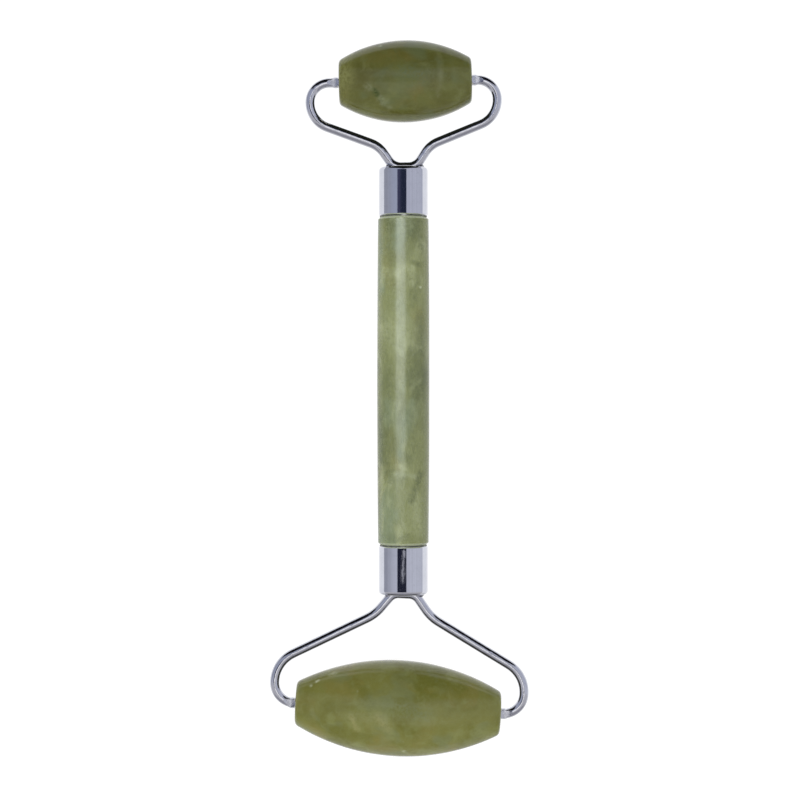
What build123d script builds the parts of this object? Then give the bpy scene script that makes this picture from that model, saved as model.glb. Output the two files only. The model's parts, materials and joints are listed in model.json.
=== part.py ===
from build123d import *

import os
from dataclasses import dataclass

# Double-ended stone face roller.
#
# A ground stone handle carries a plated ferrule at each end. A threaded stud, bedded in adhesive,
# holds each ferrule to the stone. A bent wire frame is soldered into a groove across each ferrule,
# and its two ends point inwards as pins. A stone roller turns on each pair of pins, in flanged
# plastic bushes set into its ends: a small roller at +Y and a large one at -Y.
#
# Frame: millimetres, origin at the centre of the handle, +Y along the handle towards the small
# roller, +X to the right, and Z = 0 on the plane that both wire frames lie in.

# Handle: a bar of stone, crowned a little by hand grinding
HANDLE_LENGTH = 66.2
HANDLE_MIDDLE_RADIUS = 5.3
HANDLE_END_RADIUS = 5.13
HANDLE_CHAMFER = 0.5
HANDLE_BORE_RADIUS = 2.35
HANDLE_BORE_DEPTH = 15.0

# Ferrule: a plated cap, solid apart from the hole for the stud
SEAM = 0.25  # film of adhesive between the stone and the ferrule
FERRULE_RADIUS = 4.97
FERRULE_LENGTH = 9.8
FERRULE_OUTER_FILLET = 0.8
FERRULE_INNER_CHAMFER = 0.2
FERRULE_END = HANDLE_LENGTH / 2 + SEAM + FERRULE_LENGTH

# Stud: an M4 thread, drawn as rings one pitch apart
STUD_RADIUS = 2.0
THREAD_DEPTH = 0.35
THREAD_PITCH = 0.7
TURNS_IN_HANDLE = 19
TURNS_IN_FERRULE = 10

# Wire frames
WIRE_RADIUS = 0.95
SWELL_RADIUS = 1.1  # the wire is pinched beside each roller, and its swelling keeps the roller central
SWELL_FACE_RADIUS = 1.05
SWELL_CREST = 0.6
SWELL_LENGTH = 1.8
PINCH_CENTRE = 1.0  # of the two hollows that the jaws left, above and below the wire
PINCH_THICKNESS = 1.52
PINCH_JAW_RADIUS = 4.5
PINCH_JAW_WIDTH = 6.0
END_FLOAT = 0.15  # gap on each side of a roller
PIN_DEPTH = 6.2  # of each pin inside its roller
PIN_TIP_CHAMFER = 0.3

# Solder: a bead outside each corner of the saddle
BEAD_RADIUS = 1.25
BEAD_REACH = 2.9  # from the middle of the saddle

# Bushes
BUSH_RADIUS = 1.5
BUSH_LENGTH = 8.0
BUSH_CLEARANCE = 0.05
FLANGE_RADIUS = 2.2
FLANGE_THICKNESS = 0.4


@dataclass
class End:
    """One end of the tool. Heights are measured outwards from the ferrule's end face."""

    frame_name: str
    roller_name: str
    side: int  # +1 for the end towards +Y, -1 for the other
    skew: float  # degrees that the frame is turned about +Z, as it was soldered
    offset: float  # of the frame from the ferrule's axis
    saddle: tuple[float, float]  # corner of the saddle, with its lower half let into the ferrule
    saddle_bend: float
    neck: tuple[float, float]  # corner between the saddle's arm and the sloping arm
    neck_bend: float
    half_width: float  # of the wire's centreline at its widest
    shoulder_height: float
    shoulder_bend: float
    pin_height: float
    pin_bend: float
    roller_length: float
    roller_radius: float
    roller_end_radius: float
    roller_shift: float  # of the roller's centre from the frame's centre
    roller_fillet: float

    @property
    def handle_plane(self):
        """On the handle's end face: local X to the right, local Y outwards."""
        origin = (0, self.side * HANDLE_LENGTH / 2, 0)
        return Plane(origin, x_dir=(1, 0, 0), z_dir=(0, 0, self.side))

    @property
    def frame_plane(self):
        """On the ferrule's end face, turned with the wire frame."""
        across = Vector(1, 0, 0).rotate(Axis.Z, self.skew)
        origin = (self.offset, self.side * FERRULE_END, 0)
        return Plane(origin, x_dir=across, z_dir=(0, 0, self.side))

    @property
    def roller_plane(self):
        """At the roller's centre, with local X along the line that it turns about."""
        plane = self.frame_plane
        centre = plane.from_local_coords(Vector(self.roller_shift, self.pin_height, 0))
        return Plane(centre, x_dir=plane.x_dir, z_dir=plane.z_dir)

    @property
    def roller_axis(self):
        return Axis(self.roller_plane.origin, self.roller_plane.x_dir)


ENDS = (
    End(
        frame_name="upper",
        roller_name="small_roller",
        side=1,
        skew=1.12,
        offset=0.32,
        saddle=(2.3, 0.12),
        saddle_bend=2.9,
        neck=(5.17, 4.39),
        neck_bend=5.6,
        half_width=18.9,
        shoulder_height=9.7,
        shoulder_bend=5.3,
        pin_height=17.35,
        pin_bend=3.9,
        roller_length=26.75,
        roller_radius=8.27,
        roller_end_radius=4.45,
        roller_shift=0.41,
        roller_fillet=1.1,
    ),
    End(
        frame_name="lower",
        roller_name="large_roller",
        side=-1,
        skew=-2.95,
        offset=0.16,
        saddle=(2.25, -0.1),
        saddle_bend=2.4,
        neck=(5.62, 4.3),
        neck_bend=8.8,
        half_width=25.2,
        shoulder_height=14.9,
        shoulder_bend=6.5,
        pin_height=23.0,
        pin_bend=4.1,
        roller_length=41.35,
        roller_radius=9.68,
        roller_end_radius=4.3,
        roller_shift=-0.05,
        roller_fillet=1.2,
    ),
)


def make_handle():
    """The stone bar: its side is one shallow arc, and each end has a blind bore for a stud."""
    half = HANDLE_LENGTH / 2
    edge = half - HANDLE_CHAMFER
    flat = HANDLE_END_RADIUS - HANDLE_CHAMFER
    with BuildPart() as handle:
        with BuildSketch(Plane.XY):
            with BuildLine():
                ThreePointArc((HANDLE_END_RADIUS, -edge), (HANDLE_MIDDLE_RADIUS, 0),
                              (HANDLE_END_RADIUS, edge))
                Polyline((HANDLE_END_RADIUS, edge), (flat, half), (0, half), (0, -half),
                         (flat, -half), (HANDLE_END_RADIUS, -edge))
            make_face()
        revolve(axis=Axis.Y)
        with Locations(*(Plane((0, way * half, 0), z_dir=(0, way, 0)) for way in (-1, 1))):
            Hole(HANDLE_BORE_RADIUS, depth=HANDLE_BORE_DEPTH)
    return handle


def make_stud(end):
    """A headless threaded stud, part in the handle and part in the ferrule."""
    root = STUD_RADIUS - THREAD_DEPTH
    inner = -TURNS_IN_HANDLE * THREAD_PITCH
    outer = TURNS_IN_FERRULE * THREAD_PITCH
    outline = [(0, inner)]
    for turn in range(-TURNS_IN_HANDLE, TURNS_IN_FERRULE):
        outline.append((root, turn * THREAD_PITCH))
        outline.append((STUD_RADIUS, (turn + 0.5) * THREAD_PITCH))
    outline += [(root, outer), (0, outer)]
    with BuildPart() as stud:
        with BuildSketch(end.handle_plane):
            with BuildLine():
                Polyline(*outline, close=True)
            make_face()
        revolve(axis=Axis.Y)
    return stud


def make_frame(end):
    """One length of wire, bent from pin to pin through the saddle, and pinched beside each roller."""
    corners = [
        ((end.half_width, end.pin_height), end.pin_bend),
        ((end.half_width, end.shoulder_height), end.shoulder_bend),
        (end.neck, end.neck_bend),
        (end.saddle, end.saddle_bend),
    ]
    left = [(-x, y) for (x, y), bend in corners]
    right = [point for point, bend in reversed(corners)]
    bends = [bend for point, bend in corners]
    pin_tip = end.roller_length / 2 - PIN_DEPTH
    left_tip = (end.roller_shift - pin_tip, end.pin_height)
    right_tip = (end.roller_shift + pin_tip, end.pin_height)
    swell = end.roller_length / 2 + END_FLOAT
    jaw_height = PINCH_THICKNESS / 2 + PINCH_JAW_RADIUS
    jaws = [
        (end.roller_plane * Location((way * (swell + PINCH_CENTRE), 0, face * jaw_height), (90, 0, 0)))
        for way in (-1, 1)
        for face in (-1, 1)
    ]
    with BuildPart() as frame:
        with BuildLine(end.frame_plane) as route:
            FilletPolyline(left_tip, *left, *right, right_tip, radius=bends + bends[::-1])
        with BuildSketch(Plane(route.line @ 0, z_dir=route.line % 0)):
            Circle(WIRE_RADIUS)
        sweep(path=route.line)
        chamfer(frame.faces().filter_by(GeomType.PLANE).edges(), PIN_TIP_CHAMFER)
        with BuildSketch(end.roller_plane):
            with BuildLine():
                ThreePointArc((swell, SWELL_FACE_RADIUS), (swell + SWELL_CREST, SWELL_RADIUS),
                              (swell + SWELL_LENGTH, WIRE_RADIUS / 2))
                Polyline((swell + SWELL_LENGTH, WIRE_RADIUS / 2), (swell + SWELL_LENGTH, 0),
                         (swell, 0), (swell, SWELL_FACE_RADIUS))
            make_face()
            mirror(about=Plane.YZ)
        revolve(axis=end.roller_axis)
        with Locations(*jaws):
            Cylinder(PINCH_JAW_RADIUS, PINCH_JAW_WIDTH, mode=Mode.SUBTRACT)
    return frame


def make_ferrule(end, stud, frame):
    """A turned cap. The stud screws into one end, and the wire's saddle is let into the other."""
    with BuildPart() as ferrule:
        with BuildSketch(end.handle_plane):
            with Locations((0, SEAM)):
                Rectangle(FERRULE_RADIUS, FERRULE_LENGTH, align=(Align.MIN, Align.MIN))
        revolve(axis=Axis.Y)
        flats = ferrule.faces().filter_by(GeomType.PLANE).sort_by(Axis.Y)[:: end.side]
        chamfer(flats[0].edges(), FERRULE_INNER_CHAMFER)
        flats = ferrule.faces().filter_by(GeomType.PLANE).sort_by(Axis.Y)[:: end.side]
        fillet(flats[-1].edges(), FERRULE_OUTER_FILLET)
        add(stud.part, mode=Mode.SUBTRACT)
        add(frame.part, mode=Mode.SUBTRACT)
    return ferrule


def make_adhesive(end, stud):
    """Cured adhesive, which fills the bore around the stud and spreads across the seam."""
    with BuildPart() as adhesive:
        with BuildSketch(end.handle_plane):
            Rectangle(HANDLE_BORE_RADIUS, HANDLE_BORE_DEPTH, align=(Align.MIN, Align.MAX))
            Rectangle(HANDLE_END_RADIUS - HANDLE_CHAMFER, SEAM, align=(Align.MIN, Align.MIN))
        revolve(axis=Axis.Y)
        add(stud.part, mode=Mode.SUBTRACT)
    return adhesive


def make_bead(end, way, frame):
    """A bead of solder in the corner between the ferrule's end and one arm of the wire."""
    reach = end.frame_plane.from_local_coords(Vector(way * BEAD_REACH, 0, 0))
    base = Plane((reach.X, end.side * FERRULE_END, 0), x_dir=(1, 0, 0), z_dir=(0, 0, end.side))
    with BuildPart() as bead:
        with BuildSketch(base):
            with BuildLine():
                CenterArc((0, 0), BEAD_RADIUS, 0, 90)
                Polyline((0, BEAD_RADIUS), (0, 0), (BEAD_RADIUS, 0))
            make_face()
        revolve(axis=Axis(base.origin, (0, 1, 0)))
        add(frame.part, mode=Mode.SUBTRACT)
    return bead


def make_roller(end):
    """A barrel of stone: its side is one arc, its ends are flat, and it is bored for the bushes."""
    half = end.roller_length / 2
    plane = end.roller_plane
    mouths = (Plane(plane.from_local_coords(Vector(way * half, 0, 0)), z_dir=plane.x_dir * way)
              for way in (-1, 1))
    with BuildPart() as roller:
        with BuildSketch(plane):
            with BuildLine():
                ThreePointArc((-half, end.roller_end_radius), (0, end.roller_radius),
                              (half, end.roller_end_radius))
                Polyline((half, end.roller_end_radius), (half, 0), (-half, 0),
                         (-half, end.roller_end_radius))
            make_face()
        revolve(axis=end.roller_axis)
        fillet(roller.faces().filter_by(GeomType.PLANE).edges(), end.roller_fillet)
        with Locations(*mouths):
            CounterBoreHole(BUSH_RADIUS, FLANGE_RADIUS, FLANGE_THICKNESS, depth=half)
    return roller


def make_bush(end, way):
    """A flanged sleeve. Its flange is flush with the stone, and a pin turns in its bore."""
    face = way * end.roller_length / 2
    seat = face - way * FLANGE_THICKNESS
    inner = face - way * BUSH_LENGTH
    bore = WIRE_RADIUS + BUSH_CLEARANCE
    with BuildPart() as bush:
        with BuildSketch(end.roller_plane):
            with BuildLine():
                Polyline((face, bore), (face, FLANGE_RADIUS), (seat, FLANGE_RADIUS),
                         (seat, BUSH_RADIUS), (inner, BUSH_RADIUS), (inner, bore), close=True)
            make_face()
        revolve(axis=end.roller_axis)
    return bush


def write(name, piece):
    piece.part.label = name
    export_step(piece.part, f"parts/{name}.step")


os.makedirs("parts", exist_ok=True)
write("handle_bar", make_handle())
for end in ENDS:
    stud = make_stud(end)
    frame = make_frame(end)
    write(f"{end.frame_name}_stud", stud)
    write(f"{end.frame_name}_adhesive", make_adhesive(end, stud))
    write(f"{end.frame_name}_ferrule", make_ferrule(end, stud, frame))
    write(f"{end.frame_name}_frame", frame)
    write(f"{end.roller_name}_stone", make_roller(end))
    for hand, way in (("left", -1), ("right", 1)):
        write(f"{end.frame_name}_{hand}_solder", make_bead(end, way, frame))
        write(f"{end.roller_name}_{hand}_bush", make_bush(end, way))
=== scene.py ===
import json
import math

import bmesh
import bpy
from mathutils import Matrix, Vector, noise


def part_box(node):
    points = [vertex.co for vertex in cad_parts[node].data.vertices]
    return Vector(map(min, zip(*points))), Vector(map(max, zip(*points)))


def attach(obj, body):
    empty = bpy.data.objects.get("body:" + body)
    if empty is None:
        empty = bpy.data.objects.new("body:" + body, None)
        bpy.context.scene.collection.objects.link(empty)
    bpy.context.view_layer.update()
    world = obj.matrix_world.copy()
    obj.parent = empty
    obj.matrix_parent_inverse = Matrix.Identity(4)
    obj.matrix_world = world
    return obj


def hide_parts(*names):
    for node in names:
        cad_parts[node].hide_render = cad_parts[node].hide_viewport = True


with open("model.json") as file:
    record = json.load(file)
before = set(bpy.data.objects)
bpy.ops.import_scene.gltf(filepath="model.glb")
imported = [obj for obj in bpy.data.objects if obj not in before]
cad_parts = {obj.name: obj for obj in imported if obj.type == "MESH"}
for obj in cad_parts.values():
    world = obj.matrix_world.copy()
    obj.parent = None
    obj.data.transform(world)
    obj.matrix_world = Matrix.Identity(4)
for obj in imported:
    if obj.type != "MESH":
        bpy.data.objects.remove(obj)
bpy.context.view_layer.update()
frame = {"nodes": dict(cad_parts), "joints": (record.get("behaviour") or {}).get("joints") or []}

MM = 0.001
NODES = frame["nodes"]
JOINTS = {joint["name"]: joint for joint in frame["joints"]}

# ---------------------------------------------------------------- sizes that the frame doesn't give

HANDLE_END_RADIUS = 5.13 * MM
HANDLE_CHAMFER = 0.5 * MM
HANDLE_BORE_RADIUS = 2.35 * MM
HANDLE_BORE_DEPTH = 15.0 * MM
STUD_RADIUS = 2.0 * MM
BUSH_RADIUS = 1.5 * MM
FLANGE_RADIUS = 2.2 * MM
FLANGE_THICKNESS = 0.4 * MM
PINCH_GAP = 1.15 * MM
PINCH_DULLING = {"small_roller": (0.40, 0.26), "large_roller": (0.45, 0.40)}  # left pin, right pin
COMPACT_REACH = 1.3  # in millimetres: a mark in the stone that reaches less far has a compact outline
ROLLERS = {
    "small_roller": {"end_radius": 4.45 * MM, "fillet": 1.1 * MM},
    "large_roller": {"end_radius": 4.3 * MM, "fillet": 1.2 * MM},
}


# ---------------------------------------------------------------- mesh helpers

def arc(centre, radius, start, stop, steps):
    """Points on a circle, with angles in degrees from the local +X direction."""
    angles = [math.radians(start + (stop - start) * i / steps) for i in range(steps + 1)]
    return [(centre[0] + radius * math.cos(a), centre[1] + radius * math.sin(a)) for a in angles]


def mirrored(points):
    """The same (along, radius) points at the other end, in the order that carries the outline on."""
    return [(-along, radius) for along, radius in reversed(points)]


def resample(points, spacing):
    """The same polyline with no run longer than spacing."""
    dense = [points[0]]
    for (t0, r0), (t1, r1) in zip(points, points[1:]):
        steps = max(1, math.ceil(math.hypot(t1 - t0, r1 - r0) / spacing))
        dense += [(t0 + (t1 - t0) * i / steps, r0 + (r1 - r0) * i / steps) for i in range(1, steps + 1)]
    return dense


def finished(name, mesh, matrix, crease=38):
    """An object from a bmesh, smooth except at its real edges."""
    bmesh.ops.recalc_face_normals(mesh, faces=mesh.faces)
    data = bpy.data.meshes.new(name)
    mesh.to_mesh(data)
    mesh.free()
    data.transform(matrix)
    data.shade_smooth()
    data.set_sharp_from_angle(angle=math.radians(crease))
    piece = bpy.data.objects.new(name, data)
    bpy.context.scene.collection.objects.link(piece)
    return piece


def turned(name, outline, matrix, segments, relief, relief_from, bored):
    """A closed surface turned about local X from (along, radius) points.

    The outline starts and ends on the axis, or is a loop if bored. relief(point) gives how far a
    local point that is further than relief_from from the axis is sunk below the turned surface.
    """
    mesh = bmesh.new()
    rings = []
    for along, radius in outline[:-1] if bored else outline[1:-1]:
        ring = []
        for i in range(segments):
            angle = 2 * math.pi * i / segments
            out = Vector((0, math.cos(angle), math.sin(angle)))
            point = Vector((along, 0, 0)) + out * radius
            if radius > relief_from:
                point -= out * relief(point)
            ring.append(mesh.verts.new(point))
        rings.append(ring)
    for near, far in zip(rings, rings[1:] + rings[:1] if bored else rings[1:]):
        for i in range(segments):
            j = (i + 1) % segments
            mesh.faces.new((near[i], near[j], far[j], far[i]))
    if not bored:
        for (along, _), ring in ((outline[0], rings[0]), (outline[-1], rings[-1])):
            tip = mesh.verts.new((along, 0, 0))
            for i in range(segments):
                mesh.faces.new((tip, ring[(i + 1) % segments], ring[i]))
    return finished(name, mesh, matrix)


def uneven(depth, width, seed):
    """Relief of hand work: broad shallow hollows, never proud of the true surface."""
    shift = Vector((seed, 2 * seed, 3 * seed))

    def relief(point):
        broad = noise.noise(point / width + shift)
        fine = noise.noise(point / (0.3 * width) + shift)
        return depth * (0.5 + 0.38 * broad + 0.12 * fine)

    return relief


def turning_matrix(origin, axis):
    """Local X along axis, local Z as near to the row's +Z as it can be."""
    x = Vector(axis).normalized()
    z = (Vector((0, 0, 1)) - x * x.z).normalized()
    y = z.cross(x)
    rotation = Matrix((x, y, z)).transposed().to_4x4()
    return Matrix.Translation(Vector(origin)) @ rotation


def span(node, matrix):
    """How far a CAD node reaches along local X, and its largest radius about local X."""
    inverse = matrix.inverted()
    points = [inverse @ vertex.co for vertex in NODES[node].data.vertices]
    along = [point.x for point in points]
    return min(along), max(along), max(math.hypot(point.y, point.z) for point in points)


def on_top(piece, x, y):
    """The point of a piece's upper side at x and y, all in millimetres."""
    hit, point, _, _ = piece.ray_cast(Vector((x * MM, y * MM, 0.1)), Vector((0, 0, -1)))
    return Vector(point) / MM if hit else Vector((x, y, 0))


# ---------------------------------------------------------------- node helpers

class Nodes:
    """A node tree, with short calls for the nodes that the finishes and the world share."""

    def __init__(self, tree):
        self.tree = tree

    def node(self, kind, inputs=None, **settings):
        made = self.tree.nodes.new(kind)
        for key, value in settings.items():
            setattr(made, key, value)
        for key, value in (inputs or {}).items():
            self.feed(made.inputs[key], value)
        return made

    def feed(self, socket, value):
        if isinstance(value, bpy.types.NodeSocket):
            self.tree.links.new(value, socket)
        else:
            socket.default_value = value

    def math(self, operation, a, b=0.0, clamp=False):
        made = self.node("ShaderNodeMath", {0: a, 1: b}, operation=operation, use_clamp=clamp)
        return made.outputs["Value"]

    def vector(self, operation, a, b, output="Vector"):
        return self.node("ShaderNodeVectorMath", {0: a, 1: b}, operation=operation).outputs[output]

    def ease(self, value, low, high, bottom=0.0, top=1.0):
        """A smooth step from bottom at low to top at high."""
        made = self.node("ShaderNodeMapRange", {
            "Value": value, "From Min": low, "From Max": high, "To Min": bottom, "To Max": top,
        }, interpolation_type="SMOOTHSTEP")
        return made.outputs["Result"]

    def blend(self, factor, a, b):
        """Colour a at factor 0 and colour b at factor 1."""
        a, b = (colour if isinstance(colour, bpy.types.NodeSocket) else (*colour, 1.0) for colour in (a, b))
        return self.node("ShaderNodeMix", {0: factor, 6: a, 7: b}, data_type="RGBA").outputs[2]


class Shader(Nodes):
    """A material's nodes, around its Principled BSDF."""

    def __init__(self, name):
        self.material = bpy.data.materials.new(name)
        self.material.use_nodes = True
        super().__init__(self.material.node_tree)
        self.surface = self.tree.nodes["Principled BSDF"]

    def place(self, stretch=(1, 1, 1), turn=(0, 0, 0)):
        """The piece's own coordinates in millimetres, stretched and turned."""
        coordinate = self.node("ShaderNodeTexCoord").outputs["Object"]
        mapping = self.node("ShaderNodeMapping", {
            "Vector": coordinate,
            "Rotation": turn,
            "Scale": [s / MM for s in stretch],
        })
        return mapping.outputs["Vector"]

    def noise(self, vector, scale, detail=3.0, rough=0.5, distortion=0.0):
        made = self.node("ShaderNodeTexNoise", {
            "Vector": vector, "Scale": scale, "Detail": detail, "Roughness": rough, "Distortion": distortion,
        })
        return made.outputs["Fac"]

    def along(self, place, start, stop, reach):
        """1 on the line from start to stop, falling to 0 at reach from it."""
        line = stop - start
        if line.length < 0.01:
            gap = self.vector("DISTANCE", place, start, "Value")
        else:
            from_start = self.vector("SUBTRACT", place, start)
            share = self.math("DIVIDE", self.vector("DOT_PRODUCT", from_start, line, "Value"),
                              line.length_squared, clamp=True)
            foot = self.node("ShaderNodeVectorMath", {0: line, "Scale": share}, operation="SCALE")
            gap = self.vector("DISTANCE", from_start, foot.outputs["Vector"], "Value")
        return self.ease(gap, reach, 0.0)

    def bump(self, height, strength, distance):
        made = self.node("ShaderNodeBump", {"Height": height, "Strength": strength, "Distance": distance})
        self.feed(self.surface.inputs["Normal"], made.outputs["Normal"])


# ---------------------------------------------------------------- finishes

def jade(piece, tones, marks, stretch, turn, rough, gloss, cloudiness, wisps, painted_light_ends=None):
    """Polished jade: soft clouds of several greens, wisps, fine grain, and a few marks, most of them its own
    and some of them painted light and painted highlight.

    tones names its colours. marks are (start, stop, reach, tone, strength), with start and stop as (x, y)
    in millimetres on the stone's upper side. painted_light_ends is how far along Y, in millimetres, the ends
    begin that are painted paler, a painted light on the chamfers, where it has them.
    """
    dark, body, light = tones["dark"], tones["body"], tones["light"]
    s = Shader(piece.name + "_finish")
    place = s.place(stretch, turn)
    drift = s.node("ShaderNodeTexNoise", {"Vector": place, "Scale": 0.16, "Detail": 2.0}).outputs["Color"]
    warped = s.vector("ADD", place, s.vector("MULTIPLY", drift, (7.0, 7.0, 7.0)))
    shifted = s.vector("ADD", warped, (31.0, 17.0, 5.0))
    fine = s.vector("ADD", place, s.vector("MULTIPLY", drift, (3.0, 3.0, 3.0)))

    colour = s.blend(s.ease(s.noise(warped, 0.11, 2.0, 0.45), 0.38, 0.60), dark, body)
    grey = s.ease(s.noise(shifted, 0.15, 2.0, 0.5), 0.50, 0.68, 0.0, cloudiness)
    colour = s.blend(grey, colour, tones["grey"])
    yellow = s.ease(s.noise(shifted, 0.13, 2.0, 0.5, 0.4), 0.46, 0.28, 0.0, cloudiness)
    colour = s.blend(yellow, colour, tones["yellow"])
    colour = s.blend(s.ease(s.noise(warped, 0.30, 3.0, 0.5), 0.50, 0.74, 0.0, cloudiness), colour, light)
    wisp = s.math("ABSOLUTE", s.math("SUBTRACT", s.noise(fine, 0.22, 4.0, 0.6), 0.5))
    colour = s.blend(s.ease(wisp, 0.045, 0.0, 0.0, wisps), colour, light)
    colour = s.blend(s.ease(s.noise(place, 1.3, 4.0, 0.65), 0.40, 0.70, 0.0, 0.18), colour, light)
    colour = s.blend(s.ease(s.noise(place, 6.5, 2.0, 0.6), 0.35, 0.75, 0.0, 0.10), colour, dark)
    cells = s.node("ShaderNodeTexVoronoi", {"Vector": fine, "Scale": 0.28}).outputs["Distance"]
    rare = s.ease(s.noise(place, 0.21, 1.0), 0.54, 0.64)
    colour = s.blend(s.math("MULTIPLY", s.ease(cells, 0.10, 0.01, 0.0, 0.55), rare), colour, tones["veil"])

    wander = s.node("ShaderNodeTexNoise", {"Vector": s.place(), "Scale": 0.8, "Detail": 3.0}).outputs["Color"]
    wander = s.vector("SUBTRACT", wander, (0.5, 0.5, 0.5))
    ragged = s.vector("ADD", s.place(), s.vector("MULTIPLY", wander, (1.6, 1.6, 1.6)))
    compact = s.vector("ADD", s.place(), s.vector("MULTIPLY", wander, (0.5, 0.5, 0.5)))
    broken = s.ease(s.noise(s.place(), 1.6, 3.0, 0.6), 0.34, 0.60, 0.35, 1.0)
    for start, stop, reach, tone, strength in marks:
        outline = compact if reach < COMPACT_REACH else ragged
        fade = s.along(outline, on_top(piece, *start), on_top(piece, *stop), reach)
        colour = s.blend(s.math("MULTIPLY", s.math("MULTIPLY", fade, strength), broken), colour, tones[tone])

    # painted light: the handle's chamfered ends are painted paler with the veil tone
    if painted_light_ends is not None:
        outwards = s.math("ABSOLUTE", s.node("ShaderNodeSeparateXYZ", {"Vector": s.place()}).outputs["Y"])
        colour = s.blend(s.ease(outwards, painted_light_ends, painted_light_ends + 0.15, 0.0, 0.55), colour, tones["veil"])

    surface = s.surface
    s.feed(surface.inputs["Base Color"], colour)
    s.feed(surface.inputs["Roughness"], s.ease(s.noise(place, 1.4, 4.0, 0.6), 0.3, 0.7, rough, rough * 1.5))
    surface.inputs["IOR"].default_value = 1.55
    surface.inputs["Specular IOR Level"].default_value = gloss
    surface.inputs["Subsurface Weight"].default_value = 0.30
    surface.inputs["Subsurface Radius"].default_value = (1.0, 1.0, 0.55)
    surface.inputs["Subsurface Scale"].default_value = 1.1 * MM
    pores = s.node("ShaderNodeTexVoronoi", {"Vector": place, "Scale": 2.3}).outputs["Distance"]
    pitted = s.math("MULTIPLY", s.ease(pores, 0.14, 0.03), s.ease(s.noise(place, 0.5, 2.0), 0.56, 0.70))
    relief = s.math("SUBTRACT", s.math("MULTIPLY", s.noise(place, 2.6, 4.0, 0.5), 0.35), pitted)
    s.bump(relief, 0.22, 0.03 * MM)
    return s.material


def chrome(name, tint, rough, stretch, wobble, scuffs):
    """Bright plating over brushed metal: faint drawn lines, a little haze, handling marks and hand bends.

    scuffs are the (start, stop, reach, roughness, least) of the dulled places, in millimetres, where least is
    the share of the dulling that is there even between its patches.
    """
    s = Shader(name)
    lines = s.noise(s.place(stretch), 3.0, 5.0, 0.6)
    haze = s.noise(s.place(), 0.35, 3.0, 0.6)
    stain = s.noise(s.place(), 1.9, 4.0, 0.65)
    surface = s.surface
    colour = s.blend(s.ease(haze, 0.35, 0.75, 0.0, 0.35), tint, [0.84 * channel for channel in tint])
    colour = s.blend(s.ease(stain, 0.58, 0.74, 0.0, 0.30), colour, [0.62 * channel for channel in tint])
    s.feed(surface.inputs["Base Color"], colour)
    surface.inputs["Metallic"].default_value = 1.0
    dull = s.ease(s.math("ADD", haze, s.math("MULTIPLY", lines, 0.5)), 0.55, 1.05, rough, rough * 2.4)
    patches = s.noise(s.place((1.0, 0.22, 1.0)), 2.2, 3.0, 0.6)
    for start, stop, reach, roughness, least in scuffs:
        patchy = s.ease(patches, 0.36, 0.62, least, 1.0)
        rubbed = s.math("MULTIPLY", s.along(s.place(), start, stop, reach), patchy)
        dull = s.math("ADD", dull, s.math("MULTIPLY", rubbed, roughness))
    s.feed(surface.inputs["Roughness"], dull)
    bends = s.noise(s.place(), 0.30, 2.0)
    s.bump(s.math("ADD", s.math("MULTIPLY", lines, 0.03), bends), 0.5, wobble * MM)
    return s.material


def solder_finish():
    """Dull tin-silver solder with a frozen, slightly wrinkled skin and flux-darkened hollows."""
    s = Shader("solder_finish")
    place = s.place()
    skin = s.noise(place, 2.4, 5.0, 0.65)
    hollow = s.noise(place, 0.9, 3.0, 0.5)
    colour = s.blend(s.ease(skin, 0.35, 0.7), (0.20, 0.20, 0.21), (0.50, 0.50, 0.53))
    colour = s.blend(s.ease(hollow, 0.50, 0.72, 0.0, 0.45), colour, (0.16, 0.155, 0.14))
    s.feed(s.surface.inputs["Base Color"], colour)
    s.surface.inputs["Metallic"].default_value = 1.0
    s.feed(s.surface.inputs["Roughness"], s.ease(skin, 0.3, 0.7, 0.52, 0.30))
    s.bump(skin, 0.5, 0.05 * MM)
    return s.material


def stud_finish():
    """Plain zinc-plated steel: cloudy grey, with a dusting of darker spots."""
    s = Shader("stud_finish")
    place = s.place()
    cloudy = s.noise(place, 1.1, 4.0, 0.6)
    spots = s.noise(place, 5.0, 2.0, 0.5)
    colour = s.blend(s.ease(cloudy, 0.35, 0.65), (0.42, 0.42, 0.43), (0.60, 0.60, 0.61))
    colour = s.blend(s.ease(spots, 0.60, 0.72, 0.0, 0.5), colour, (0.22, 0.21, 0.19))
    s.feed(s.surface.inputs["Base Color"], colour)
    s.surface.inputs["Metallic"].default_value = 1.0
    s.feed(s.surface.inputs["Roughness"], s.ease(cloudy, 0.3, 0.7, 0.32, 0.5))
    s.bump(spots, 0.3, 0.02 * MM)
    return s.material


def adhesive_finish(blot):
    """Cured epoxy, dark in the seam where it meets the stone, partly its own colour and partly painted shade,
    with small bubbles and one milky blot.
    """
    s = Shader("adhesive_finish")
    place = s.place()
    bubbles = s.node("ShaderNodeTexVoronoi", {"Vector": place, "Scale": 3.2}).outputs["Distance"]
    cloudy = s.noise(place, 0.9, 3.0, 0.6)
    # painted shade in part: the two dark glue colours also stand for the shade in the seam
    colour = s.blend(s.ease(cloudy, 0.35, 0.65), (0.055, 0.062, 0.048), (0.130, 0.140, 0.115))
    colour = s.blend(s.ease(s.noise(place, 0.55, 2.0), 0.55, 0.70, 0.0, 0.6), colour, (0.34, 0.35, 0.30))
    colour = s.blend(s.along(place, blot, blot, 0.8), colour, (0.62, 0.62, 0.58))
    s.feed(s.surface.inputs["Base Color"], colour)
    s.feed(s.surface.inputs["Roughness"], s.ease(cloudy, 0.3, 0.7, 0.30, 0.50))
    s.bump(s.ease(bubbles, 0.0, 0.25), 0.4, 0.04 * MM)
    return s.material


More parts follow.
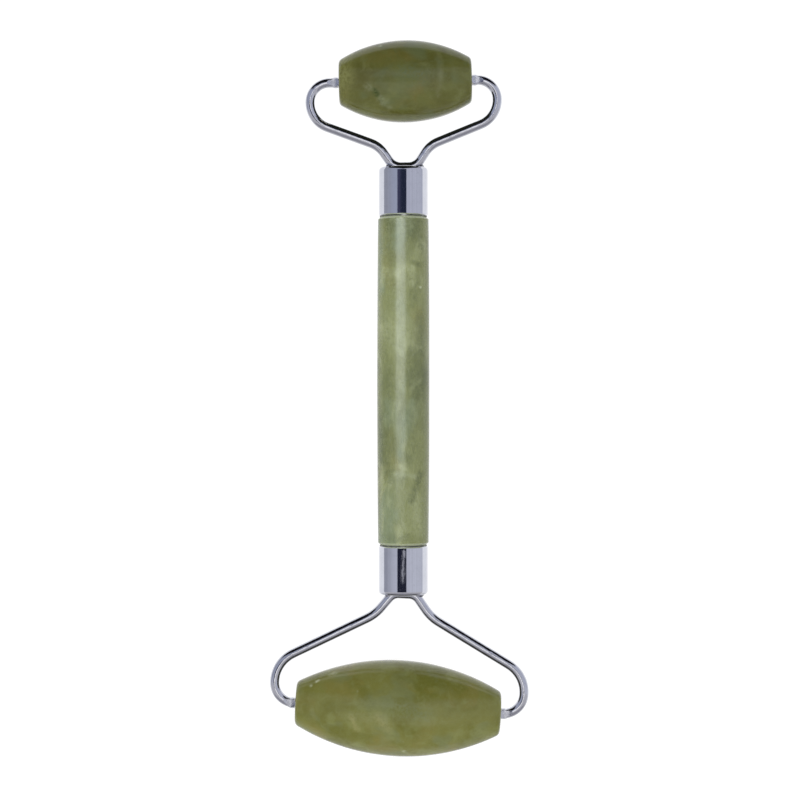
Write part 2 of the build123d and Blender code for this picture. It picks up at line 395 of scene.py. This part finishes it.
def nylon_finish():
    """Natural nylon: milky, a little yellow, with the faint ripple of a moulded part."""
    s = Shader("nylon_finish")
    place = s.place()
    flow = s.noise(place, 0.8, 4.0, 0.55, 0.8)
    grain = s.noise(place, 7.0, 2.0, 0.6)
    colour = s.blend(s.ease(flow, 0.35, 0.7), (0.62, 0.60, 0.50), (0.74, 0.73, 0.66))
    s.feed(s.surface.inputs["Base Color"], colour)
    s.feed(s.surface.inputs["Roughness"], s.ease(grain, 0.3, 0.7, 0.38, 0.55))
    s.surface.inputs["Subsurface Weight"].default_value = 0.3
    s.surface.inputs["Subsurface Radius"].default_value = (1.0, 0.9, 0.7)
    s.surface.inputs["Subsurface Scale"].default_value = 0.6 * MM
    s.bump(s.math("ADD", flow, s.math("MULTIPLY", grain, 0.3)), 0.2, 0.02 * MM)
    return s.material


def dress(piece, material):
    """Gives a piece this material alone."""
    piece.data.materials.clear()
    piece.data.materials.append(material)


def stand_for(piece, node, body):
    """Puts a piece in the place of a CAD node."""
    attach(piece, body)
    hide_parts(node)


# ---------------------------------------------------------------- stone pieces

def make_handle():
    """The stone bar: crowned side, chamfered ends and a blind bore in each end."""
    low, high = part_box("handle_bar")
    half = (high.y - low.y) / 2
    middle_radius = (high.z - low.z) / 2
    edge = half - HANDLE_CHAMFER
    flat = HANDLE_END_RADIUS - HANDLE_CHAMFER
    crown = middle_radius - HANDLE_END_RADIUS
    crown_radius = (edge ** 2 + crown ** 2) / (2 * crown)
    sweep = math.degrees(math.asin(edge / crown_radius))
    side = arc((0, middle_radius - crown_radius), crown_radius, 90 + sweep, 90 - sweep, 240)
    inner = half - HANDLE_BORE_DEPTH
    left = [(-inner, 0), (-inner, HANDLE_BORE_RADIUS), (-half, HANDLE_BORE_RADIUS), (-half, flat)]
    outline = resample([*left, *side, *mirrored(left)], 0.3 * MM)
    matrix = turning_matrix((low + high) / 2, (0, 1, 0))
    piece = turned("handle_stone", outline, matrix, 176, uneven(0.05 * MM, 9 * MM, 4.0),
                   HANDLE_BORE_RADIUS * 1.01, False)
    stand_for(piece, "handle_bar", "handle")
    return piece


def make_roller(body, seed):
    """A stone barrel: arched side, rounded rims, and a bore stepped for a bush at each end."""
    joint = JOINTS[body + "_spin"]
    matrix = turning_matrix(joint["pos_m"], joint["axis"])
    low, high, belly = span(body + "_stone", matrix)
    half = (high - low) / 2
    end_radius = ROLLERS[body]["end_radius"]
    fillet = ROLLERS[body]["fillet"]
    rise = belly - end_radius
    side_radius = (half ** 2 + rise ** 2) / (2 * rise)
    core = side_radius - fillet
    drop = belly - side_radius
    tangent = math.degrees(math.asin((half - fillet) / core))
    corner = (half - fillet, drop + core * math.cos(math.radians(tangent)))
    right_fillet = arc(corner, fillet, 90 - tangent, 0, 12)
    side = arc((0, drop), side_radius, 90 + tangent, 90 - tangent, 200)
    seat = half - FLANGE_THICKNESS
    right_bore = [(half, FLANGE_RADIUS), (seat, FLANGE_RADIUS), (seat, BUSH_RADIUS), (0, BUSH_RADIUS)]
    outline = [*mirrored(right_bore), *mirrored(right_fillet), *side[1:-1], *right_fillet, *right_bore]
    piece = turned(body + "_jade", resample(outline, 0.3 * MM), matrix, 208, uneven(0.07 * MM, 8 * MM, seed),
                   FLANGE_RADIUS * 1.01, True)
    stand_for(piece, body + "_stone", body)
    return piece


handle = make_handle()
small_roller = make_roller("small_roller", 11.0)
large_roller = make_roller("large_roller", 23.0)

HANDLE_TONES = {
    "dark": (0.090, 0.104, 0.040), "body": (0.158, 0.172, 0.066), "light": (0.272, 0.292, 0.156),
    "yellow": (0.174, 0.172, 0.058), "grey": (0.156, 0.188, 0.112), "veil": (0.42, 0.45, 0.32),
}
# pale is a painted light for the small roller's left end; grey also serves its painted highlight
SMALL_TONES = {
    "dark": (0.082, 0.080, 0.016), "body": (0.107, 0.112, 0.029), "light": (0.136, 0.146, 0.052),
    "yellow": (0.122, 0.104, 0.024), "grey": (0.096, 0.116, 0.050), "veil": (0.34, 0.37, 0.24),
    "pale": (0.176, 0.180, 0.056), "pit": (0.034, 0.052, 0.006),
}
LARGE_TONES = {
    "dark": (0.128, 0.130, 0.023), "body": (0.168, 0.168, 0.041), "light": (0.210, 0.222, 0.078),
    "yellow": (0.192, 0.166, 0.041), "grey": (0.164, 0.184, 0.081), "veil": (0.42, 0.44, 0.27),
    "cream": (0.290, 0.270, 0.105),
}
HANDLE_MARKS = [
    ((-3.2, 10.5), (1.5, 9.0), 6.0, "light", 0.45),
    ((-3.4, 31.5), (-3.2, 24.5), 2.8, "yellow", 0.65),
    ((-2.7, 31.5), (-2.7, 20.0), 2.2, "dark", 0.50),
    ((0.9, 32.0), (0.9, 29.0), 1.8, "dark", 0.55),
    ((2.3, 20.5), (2.3, 16.0), 2.0, "dark", 0.50),
    ((-2.7, 3.0), (-2.7, -14.0), 2.4, "dark", 0.32),
    ((1.5, -6.0), (1.8, -14.5), 2.2, "dark", 0.42),
    ((2.6, 32.0), (2.3, 29.6), 2.4, "dark", 1.0),
    ((3.4, 12.5), (3.6, 6.0), 2.6, "dark", 0.55),
    ((2.0, 0.6), (3.0, -2.5), 2.6, "dark", 0.50),
    ((-3.2, 0.5), (-3.0, -1.5), 2.8, "dark", 0.40),
    ((-3.2, -12.5), (-3.6, -15.5), 3.2, "dark", 0.30),
    ((-3.2, -17.2), (-2.8, -19.2), 2.4, "dark", 0.50),
    ((2.4, -23.0), (3.0, -29.5), 2.6, "light", 0.60),
    ((1.8, 23.7), (3.3, 23.2), 0.8, "dark", 0.9),
    ((3.4, 18.8), (3.4, 18.8), 0.5, "veil", 0.8),
    ((-1.4, -18.6), (2.4, -19.2), 0.9, "veil", 0.28),
    ((1.9, 22.6), (1.9, 19.6), 1.4, "light", 0.7),
    ((-3.2, 32.6), (-2.4, 31.2), 2.2, "dark", 0.8),
    ((-3.4, 22.8), (-2.8, 19.8), 2.2, "yellow", 0.55),
    ((3.4, 28.0), (3.7, 26.4), 1.6, "dark", 0.6),
    ((3.6, 9.0), (3.6, 7.4), 1.8, "dark", 0.5),
    ((-2.6, -31.6), (0.2, -31.4), 1.7, "dark", 0.55),
    ((-3.4, -18.6), (-2.6, -20.0), 1.8, "dark", 0.45),
    ((-0.6, -3.2), (-0.6, -9.0), 1.5, "dark", 0.45),
    ((0.9, -15.4), (0.9, -16.6), 1.5, "dark", 0.55),
    ((3.4, -18.8), (1.6, -23.9), 1.3, "dark", 0.9),
]
SMALL_MARKS = [
    ((-5.8, 57.8), (-5.3, 57.1), 0.9, "pit", 1.0),
    ((-7.1, 58.4), (-7.1, 58.4), 1.3, "veil", 0.18),
    ((-4.3, 56.0), (-3.9, 55.5), 1.6, "veil", 0.22),
    ((-2.7, 54.5), (-2.7, 54.5), 0.9, "veil", 0.30),
    ((-4.7, 67.1), (-4.7, 67.1), 0.7, "veil", 0.8),
    ((7.0, 65.0), (7.4, 61.0), 1.1, "veil", 0.10),
    ((7.4, 61.0), (6.9, 57.0), 1.1, "veil", 0.10),
    ((7.9, 66.5), (8.8, 60.0), 1.5, "dark", 0.9),
    ((-6.0, 64.5), (0.0, 64.8), 3.0, "yellow", 0.5),
    # painted highlight: the grey mark across the middle stands for the roller's faint highlight
    ((0.5, 61.5), (4.5, 60.5), 3.2, "grey", 0.8),
    ((1.0, 55.0), (4.0, 54.5), 1.6, "dark", 0.6),
    ((11.7, 57.8), (11.0, 57.0), 1.8, "light", 0.7),
    # painted light: the pale marks make the left end lighter, as the side light would
    ((-11.8, 65.2), (-11.6, 61.0), 3.4, "pale", 0.9),
    ((-12.2, 60.0), (-12.0, 56.2), 3.2, "pale", 0.45),
    ((5.6, 64.8), (5.9, 59.0), 2.2, "dark", 0.9),
    ((-3.5, 53.9), (3.5, 53.7), 1.8, "dark", 1.0),
]
LARGE_MARKS = [
    # partly the stone's pale cloud, partly a painted highlight: the light marks across the lower middle
    ((-10.5, -66.8), (-3.6, -67.5), 2.8, "light", 0.42),
    ((-10.2, -67.0), (-9.2, -69.3), 1.2, "cream", 0.45),
    ((-4.8, -66.8), (-3.0, -69.0), 1.8, "cream", 0.40),
    # painted highlight: the grey mark across the middle stands for the roller's faint highlight
    ((-3.1, -63.9), (4.5, -66.5), 3.0, "grey", 0.6),
    ((5.0, -69.0), (3.0, -72.5), 3.0, "yellow", 0.4),
    ((-17.4, -60.3), (-17.0, -60.1), 0.6, "veil", 0.9),
    ((-18.5, -61.1), (-18.5, -61.1), 0.6, "veil", 0.9),
    ((-14.4, -58.9), (-13.8, -58.7), 1.2, "veil", 0.5),
    ((0.1, -74.0), (0.1, -74.0), 0.7, "veil", 0.6),
    ((-10.5, -62.0), (-12.0, -61.0), 3.0, "yellow", 0.5),
    ((6.0, -60.0), (12.0, -61.5), 2.6, "dark", 0.8),
    # partly the stone's pale cloud, partly a painted highlight across the middle
    ((-8.0, -65.2), (-1.0, -65.6), 2.6, "light", 0.35),
    ((14.6, -69.8), (17.6, -71.0), 2.4, "light", 0.6),
    ((-18.2, -71.2), (-16.4, -72.2), 2.0, "dark", 0.5),
]
# painted_light_ends is where the handle's chamfered ends start to be painted paler, a painted light
HANDLE_LOOK = {
    "stretch": (0.85, 0.50, 0.85), "turn": (0.1, 0.2, 0.1), "rough": 0.20, "gloss": 0.50,
    "cloudiness": 0.75, "wisps": 0.10, "painted_light_ends": (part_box("handle_bar")[1].y - HANDLE_CHAMFER) / MM - 0.05,
}
SMALL_LOOK = {
    "stretch": (1, 1, 1), "turn": (0.9, 0.1, 0.4), "rough": 0.13, "gloss": 0.33,
    "cloudiness": 0.65, "wisps": 0.08,
}
LARGE_LOOK = {
    "stretch": (1, 1, 1), "turn": (0.2, 0.7, 1.1), "rough": 0.13, "gloss": 0.36,
    "cloudiness": 0.60, "wisps": 0.12,
}
for piece, tones, marks, look in (
    (handle, HANDLE_TONES, HANDLE_MARKS, HANDLE_LOOK),
    (small_roller, SMALL_TONES, SMALL_MARKS, SMALL_LOOK),
    (large_roller, LARGE_TONES, LARGE_MARKS, LARGE_LOOK),
):
    dress(piece, jade(piece, tones, marks, **look))

# ---------------------------------------------------------------- adhesive and solder


def make_adhesive(end, side, seed):
    """Glue around the stud in the handle's bore, squeezed out unevenly in the seam."""
    low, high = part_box("handle_bar")
    half = (high.y - low.y) / 2
    glue_low, glue_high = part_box(end + "_adhesive")
    seam = (glue_high.y if side > 0 else -glue_low.y) - half
    rim = HANDLE_END_RADIUS - HANDLE_CHAMFER + 0.10 * MM
    outline = [(-HANDLE_BORE_DEPTH, STUD_RADIUS), (-HANDLE_BORE_DEPTH, HANDLE_BORE_RADIUS),
               (0, HANDLE_BORE_RADIUS), (0, rim), *arc((seam / 2, rim), seam / 2, 180, 0, 8)[1:-1],
               (seam, rim), (seam, STUD_RADIUS), (-HANDLE_BORE_DEPTH, STUD_RADIUS)]
    matrix = turning_matrix((0, side * half, 0), (0, side, 0))
    lumps = uneven(0.16 * MM, 2.5 * MM, seed)
    piece = turned(end + "_glue", resample(outline, 0.12 * MM), matrix, 160, lumps, rim * 0.94, True)
    stand_for(piece, end + "_adhesive", "handle")
    return piece


def make_solder(end, hand, side, seed):
    """A frozen bead that has wetted the ferrule's end and one arm of the wire."""
    node = f"{end}_{hand}_solder"
    low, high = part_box(node)
    foot = Vector(((low.x + high.x) / 2, low.y if side > 0 else high.y, 0))
    width = (high.x - low.x) / 2
    rise = high.y - low.y
    depth = (high.z - low.z) / 2
    shift = Vector((seed, 0, 0))
    mesh = bmesh.new()
    bmesh.ops.create_icosphere(mesh, subdivisions=5, radius=1.0)
    for vertex in mesh.verts:
        broad = noise.noise(vertex.co * 1.6 + shift)
        fine = noise.noise(vertex.co * 5.0 + shift)
        lump = 0.86 + 0.14 * broad + 0.04 * fine
        height = max(vertex.co.y, 0.0)
        flare = 0.80 + 0.20 * (1 - height) ** 2
        vertex.co = Vector((vertex.co.x * width * flare, max(vertex.co.y, -0.12) * rise,
                            vertex.co.z * depth * flare)) * lump
    matrix = Matrix.Translation(foot) @ Matrix.Diagonal((1, side, 1, 1))
    piece = finished(f"{end}_{hand}_bead", mesh, matrix, 180)
    stand_for(piece, node, "handle")
    return piece


BLOT = Vector((0.15, 33.2, 4.65))
ADHESIVE = adhesive_finish(BLOT)
SOLDER = solder_finish()
for end, side in (("upper", 1), ("lower", -1)):
    dress(make_adhesive(end, side, 5.0 * side), ADHESIVE)
    for hand, seed in (("left", 3.0 * side), ("right", 8.0 * side)):
        dress(make_solder(end, hand, side, seed), SOLDER)

# ---------------------------------------------------------------- finishes of the carried-over parts


def pinches():
    """Where the jaws dulled the plating, above and below the wire beside each roller."""
    spots = []
    for body, dulling in PINCH_DULLING.items():
        joint = JOINTS[body + "_spin"]
        low, high, _ = span(body + "_stone", turning_matrix(joint["pos_m"], joint["axis"]))
        for way, roughness in zip((-1, 1), dulling):
            middle = Vector(joint["pos_m"]) + Vector(joint["axis"]) * way * ((high - low) / 2 + PINCH_GAP)
            middle /= MM
            spots.append((middle + Vector((0, 0, -1)), middle + Vector((0, 0, 1)), 1.5, roughness, 0.6))
    return spots


RUBBED_STREAK = (Vector((0.05, -34.2, 4.97)), Vector((-0.10, -40.3, 4.97)), 0.68, 0.36, 0.25)
FINISHES = {
    "upper_ferrule": chrome("upper_ferrule_finish", (0.82, 0.82, 0.85), 0.035, (1.0, 6.0, 1.0), 0.02, []),
    "lower_ferrule": chrome("lower_ferrule_finish", (0.82, 0.82, 0.85), 0.035, (1.0, 6.0, 1.0), 0.02,
                            [RUBBED_STREAK]),
    "_frame": chrome("wire_finish", (0.80, 0.80, 0.83), 0.05, (3.0, 3.0, 3.0), 0.25, pinches()),
    "_stud": stud_finish(),
    "_bush": nylon_finish(),
}
for name, node in NODES.items():
    for ending, finish in FINISHES.items():
        if name.endswith(ending):
            dress(node, finish)

# ---------------------------------------------------------------- floor, light and camera

CAMERA_PLACE = (-0.67 * MM, -3.86 * MM, 480 * MM)
SENSOR_WIDTH = 36
LENS = 106.9
PAINTED_REFLECTION_SCALE = 0.97


def roller_contact(body):
    """The centre of a roller and its radius."""
    joint = JOINTS[body + "_spin"]
    matrix = turning_matrix(joint["pos_m"], joint["axis"])
    return Vector(joint["pos_m"]), span(body + "_stone", matrix)[2]


def make_floor():
    """A pale tabletop that touches both rollers, so it slopes a little against the handle."""
    small, small_radius = roller_contact("small_roller")
    large, large_radius = roller_contact("large_roller")
    gap = math.hypot(small.y - large.y, small.z - large.z)
    slope = math.asin((large_radius - small_radius) / gap)
    up = Vector((0, -math.sin(slope), math.cos(slope)))
    touch = large - up * large_radius
    mesh = bmesh.new()
    bmesh.ops.create_grid(mesh, x_segments=24, y_segments=24, size=0.9)
    data = bpy.data.meshes.new("tabletop")
    mesh.to_mesh(data)
    mesh.free()
    floor = bpy.data.objects.new("tabletop", data)
    floor.matrix_world = Matrix.Translation(touch) @ Matrix.Rotation(slope, 4, "X")
    bpy.context.scene.collection.objects.link(floor)
    s = Shader("tabletop_finish")
    s.surface.inputs["Base Color"].default_value = (0.16, 0.16, 0.16, 1)
    s.surface.inputs["Roughness"].default_value = 0.9
    s.surface.inputs["Specular IOR Level"].default_value = 0.0
    s.surface.inputs["Emission Color"].default_value = (1, 1, 1, 1)
    s.surface.inputs["Emission Strength"].default_value = 0.94
    dress(floor, s.material)
    floor.visible_glossy = False


def studio_cards(w):
    """What the stones and the plating mirror: soft cards around the tool, dark ones overhead, and a table."""
    direction = w.node("ShaderNodeTexCoord").outputs["Generated"]
    part = w.node("ShaderNodeSeparateXYZ", {"Vector": direction}).outputs
    lean_x = w.math("MULTIPLY", w.math("ARCTAN2", part["X"], part["Z"]), 180 / math.pi)
    lean_y = w.math("MULTIPLY", w.math("ARCTAN2", part["Y"], part["Z"]), 180 / math.pi)

    lower = w.ease(part["Y"], 0.09, -0.09)
    near = w.blend(lower, (0.330, 0.360, 0.470), (0.460, 0.480, 0.575))
    west = w.blend(w.ease(lean_x, -35, -95), near, (0.300, 0.315, 0.380))
    east = w.blend(lower, (0.450, 0.470, 0.570), (0.505, 0.525, 0.615))
    room = w.blend(w.ease(part["X"], -0.3, 0.2), west, east)
    room = w.blend(w.ease(part["Y"], -0.30, -0.50), room, (0.27, 0.27, 0.31))
    low_card = w.math("MULTIPLY", w.ease(part["Y"], -0.10, -0.26), w.ease(part["Y"], -0.62, -0.46))
    room = w.blend(low_card, room, (0.46, 0.46, 0.50))
    sideways = w.math("MULTIPLY", w.math("ABSOLUTE", part["X"]), 0.5)
    north_card = w.ease(w.math("SUBTRACT", part["Y"], sideways), 0.22, 0.36)
    room = w.blend(north_card, room, (0.006, 0.006, 0.008))

    folds = w.node("ShaderNodeTexNoise", {"W": w.math("MULTIPLY", lean_x, 0.13), "Scale": 1.0, "Detail": 4.0},
                   noise_dimensions="1D").outputs["Fac"]
    shade = w.math("ADD", w.math("MULTIPLY", folds, 0.44), 0.78)
    room = w.node("ShaderNodeVectorMath", {0: room, "Scale": shade}, operation="SCALE").outputs["Vector"]

    across = w.math("MULTIPLY", w.ease(lean_x, -29.3, -26.8), w.ease(lean_x, 16, 13))
    along = w.math("MULTIPLY", w.ease(lean_y, -10, -7), w.ease(lean_y, 10, 7))
    navy = w.blend(w.ease(lean_x, -25, -4), (0.050, 0.053, 0.100), (0.016, 0.021, 0.043))
    overhead = w.blend(lower, navy, (0.013, 0.015, 0.030))
    room = w.blend(w.math("MULTIPLY", across, along), room, overhead)

    table = w.blend(w.ease(part["Z"], -0.70, -0.95), (0.80, 0.82, 0.88), (0.98, 0.98, 1.00))
    table = w.blend(w.ease(part["Y"], -0.30, -0.55), table, (0.58, 0.59, 0.62))
    room = w.blend(w.ease(part["Z"], -0.18, -0.26), room, table)

    north_fade = w.math("SUBTRACT", 1.05, w.math("MULTIPLY", part["Y"], 0.42))
    glow = w.math("SUBTRACT", north_fade, w.math("MULTIPLY", part["X"], 0.20))
    return room, glow


def make_world():
    """White to the camera, a dome for soft light, and a studio of cards for reflections."""
    world = bpy.data.worlds.new("studio")
    bpy.context.scene.world = world
    world.use_nodes = True
    world.node_tree.nodes.clear()
    w = Nodes(world.node_tree)
    room, glow = studio_cards(w)
    path = w.node("ShaderNodeLightPath").outputs
    seen = w.node("ShaderNodeBackground", {"Color": (1, 1, 1, 1), "Strength": 1.0})
    soft = w.node("ShaderNodeBackground", {"Color": (0.97, 0.98, 1.0, 1), "Strength": glow})
    cards = w.node("ShaderNodeBackground", {"Color": room, "Strength": 1.0})
    lit = w.node("ShaderNodeMixShader", {0: path["Is Glossy Ray"], 1: soft.outputs[0], 2: cards.outputs[0]})
    shown = w.node("ShaderNodeMixShader", {0: path["Is Camera Ray"], 1: lit.outputs[0], 2: seen.outputs[0]})
    w.node("ShaderNodeOutputWorld", {"Surface": shown.outputs[0]})


def make_softbox(name, place, size, power, colour, pieces):
    """A lamp that faces straight down on some pieces only, so that the plating mirrors the dark card."""
    data = bpy.data.lights.new(name, "AREA")
    data.shape = "RECTANGLE"
    data.size, data.size_y = size
    data.energy = power
    data.color = colour
    lamp = bpy.data.objects.new(name, data)
    lamp.location = place
    bpy.context.scene.collection.objects.link(lamp)
    chosen = bpy.data.collections.new(name + "_receivers")
    for piece in pieces:
        chosen.objects.link(piece)
    lamp.light_linking.receiver_collection = chosen


def make_painted_reflection(stone, colour):
    """A darker twin just inside a stone, glowing with a fixed colour: a painted reflection, which the plating
    mirrors in place of the lamp-lit stone.
    """
    data = stone.data.copy()
    centre = sum((vertex.co for vertex in data.vertices), Vector()) / len(data.vertices)
    data.transform(Matrix.Translation(centre) @ Matrix.Scale(PAINTED_REFLECTION_SCALE, 4) @ Matrix.Translation(-centre))
    twin = bpy.data.objects.new(stone.name + "_stand_in", data)
    bpy.context.scene.collection.objects.link(twin)
    s = Shader(stone.name + "_stand_in_finish")
    # painted reflection: no lamp lights it, it only glows with a fixed colour
    s.surface.inputs["Base Color"].default_value = (0, 0, 0, 1)
    s.surface.inputs["Specular IOR Level"].default_value = 0.0
    s.surface.inputs["Emission Color"].default_value = (*colour, 1)
    s.surface.inputs["Emission Strength"].default_value = 1.0
    dress(twin, s.material)
    twin.visible_camera = False
    twin.visible_diffuse = False
    twin.visible_shadow = False
    twin.visible_transmission = False
    stone.visible_glossy = False


def make_camera():
    """Straight above the tool, framed a little low of its middle."""
    data = bpy.data.cameras.new("camera")
    data.sensor_width = SENSOR_WIDTH
    data.lens = LENS
    data.clip_start = 0.01
    camera = bpy.data.objects.new("camera", data)
    camera.location = CAMERA_PLACE
    bpy.context.scene.collection.objects.link(camera)
    bpy.context.scene.camera = camera


make_camera()
make_floor()
make_world()
wires = [NODES["upper_frame"], NODES["lower_frame"]]
# each lamp's name, place, size, power and colour, and the pieces that it lights
for name, place, size, power, colour, pieces in (
    ("overhead_softbox", (-0.12, 0.17, 0.50), (0.40, 0.42), 2.10, (0.90, 0.96, 1.0), [handle]),
    ("broad_softbox", (0.0, -0.02, 0.60), (0.90, 0.90), 0.6, (0.95, 0.98, 1.0), [small_roller, large_roller]),
    ("wire_softbox", (0.0, -0.05, 3.0), (0.90, 1.15), 2.9, (1.0, 1.0, 1.0), wires),
):
    make_softbox(name, place, size, power, colour, pieces)
# painted reflections: each twin glows with the colour that the plating shows for its roller
make_painted_reflection(small_roller, (0.014, 0.016, 0.010))
make_painted_reflection(large_roller, (0.050, 0.050, 0.042))
bpy.context.scene.view_settings.view_transform = "Standard"
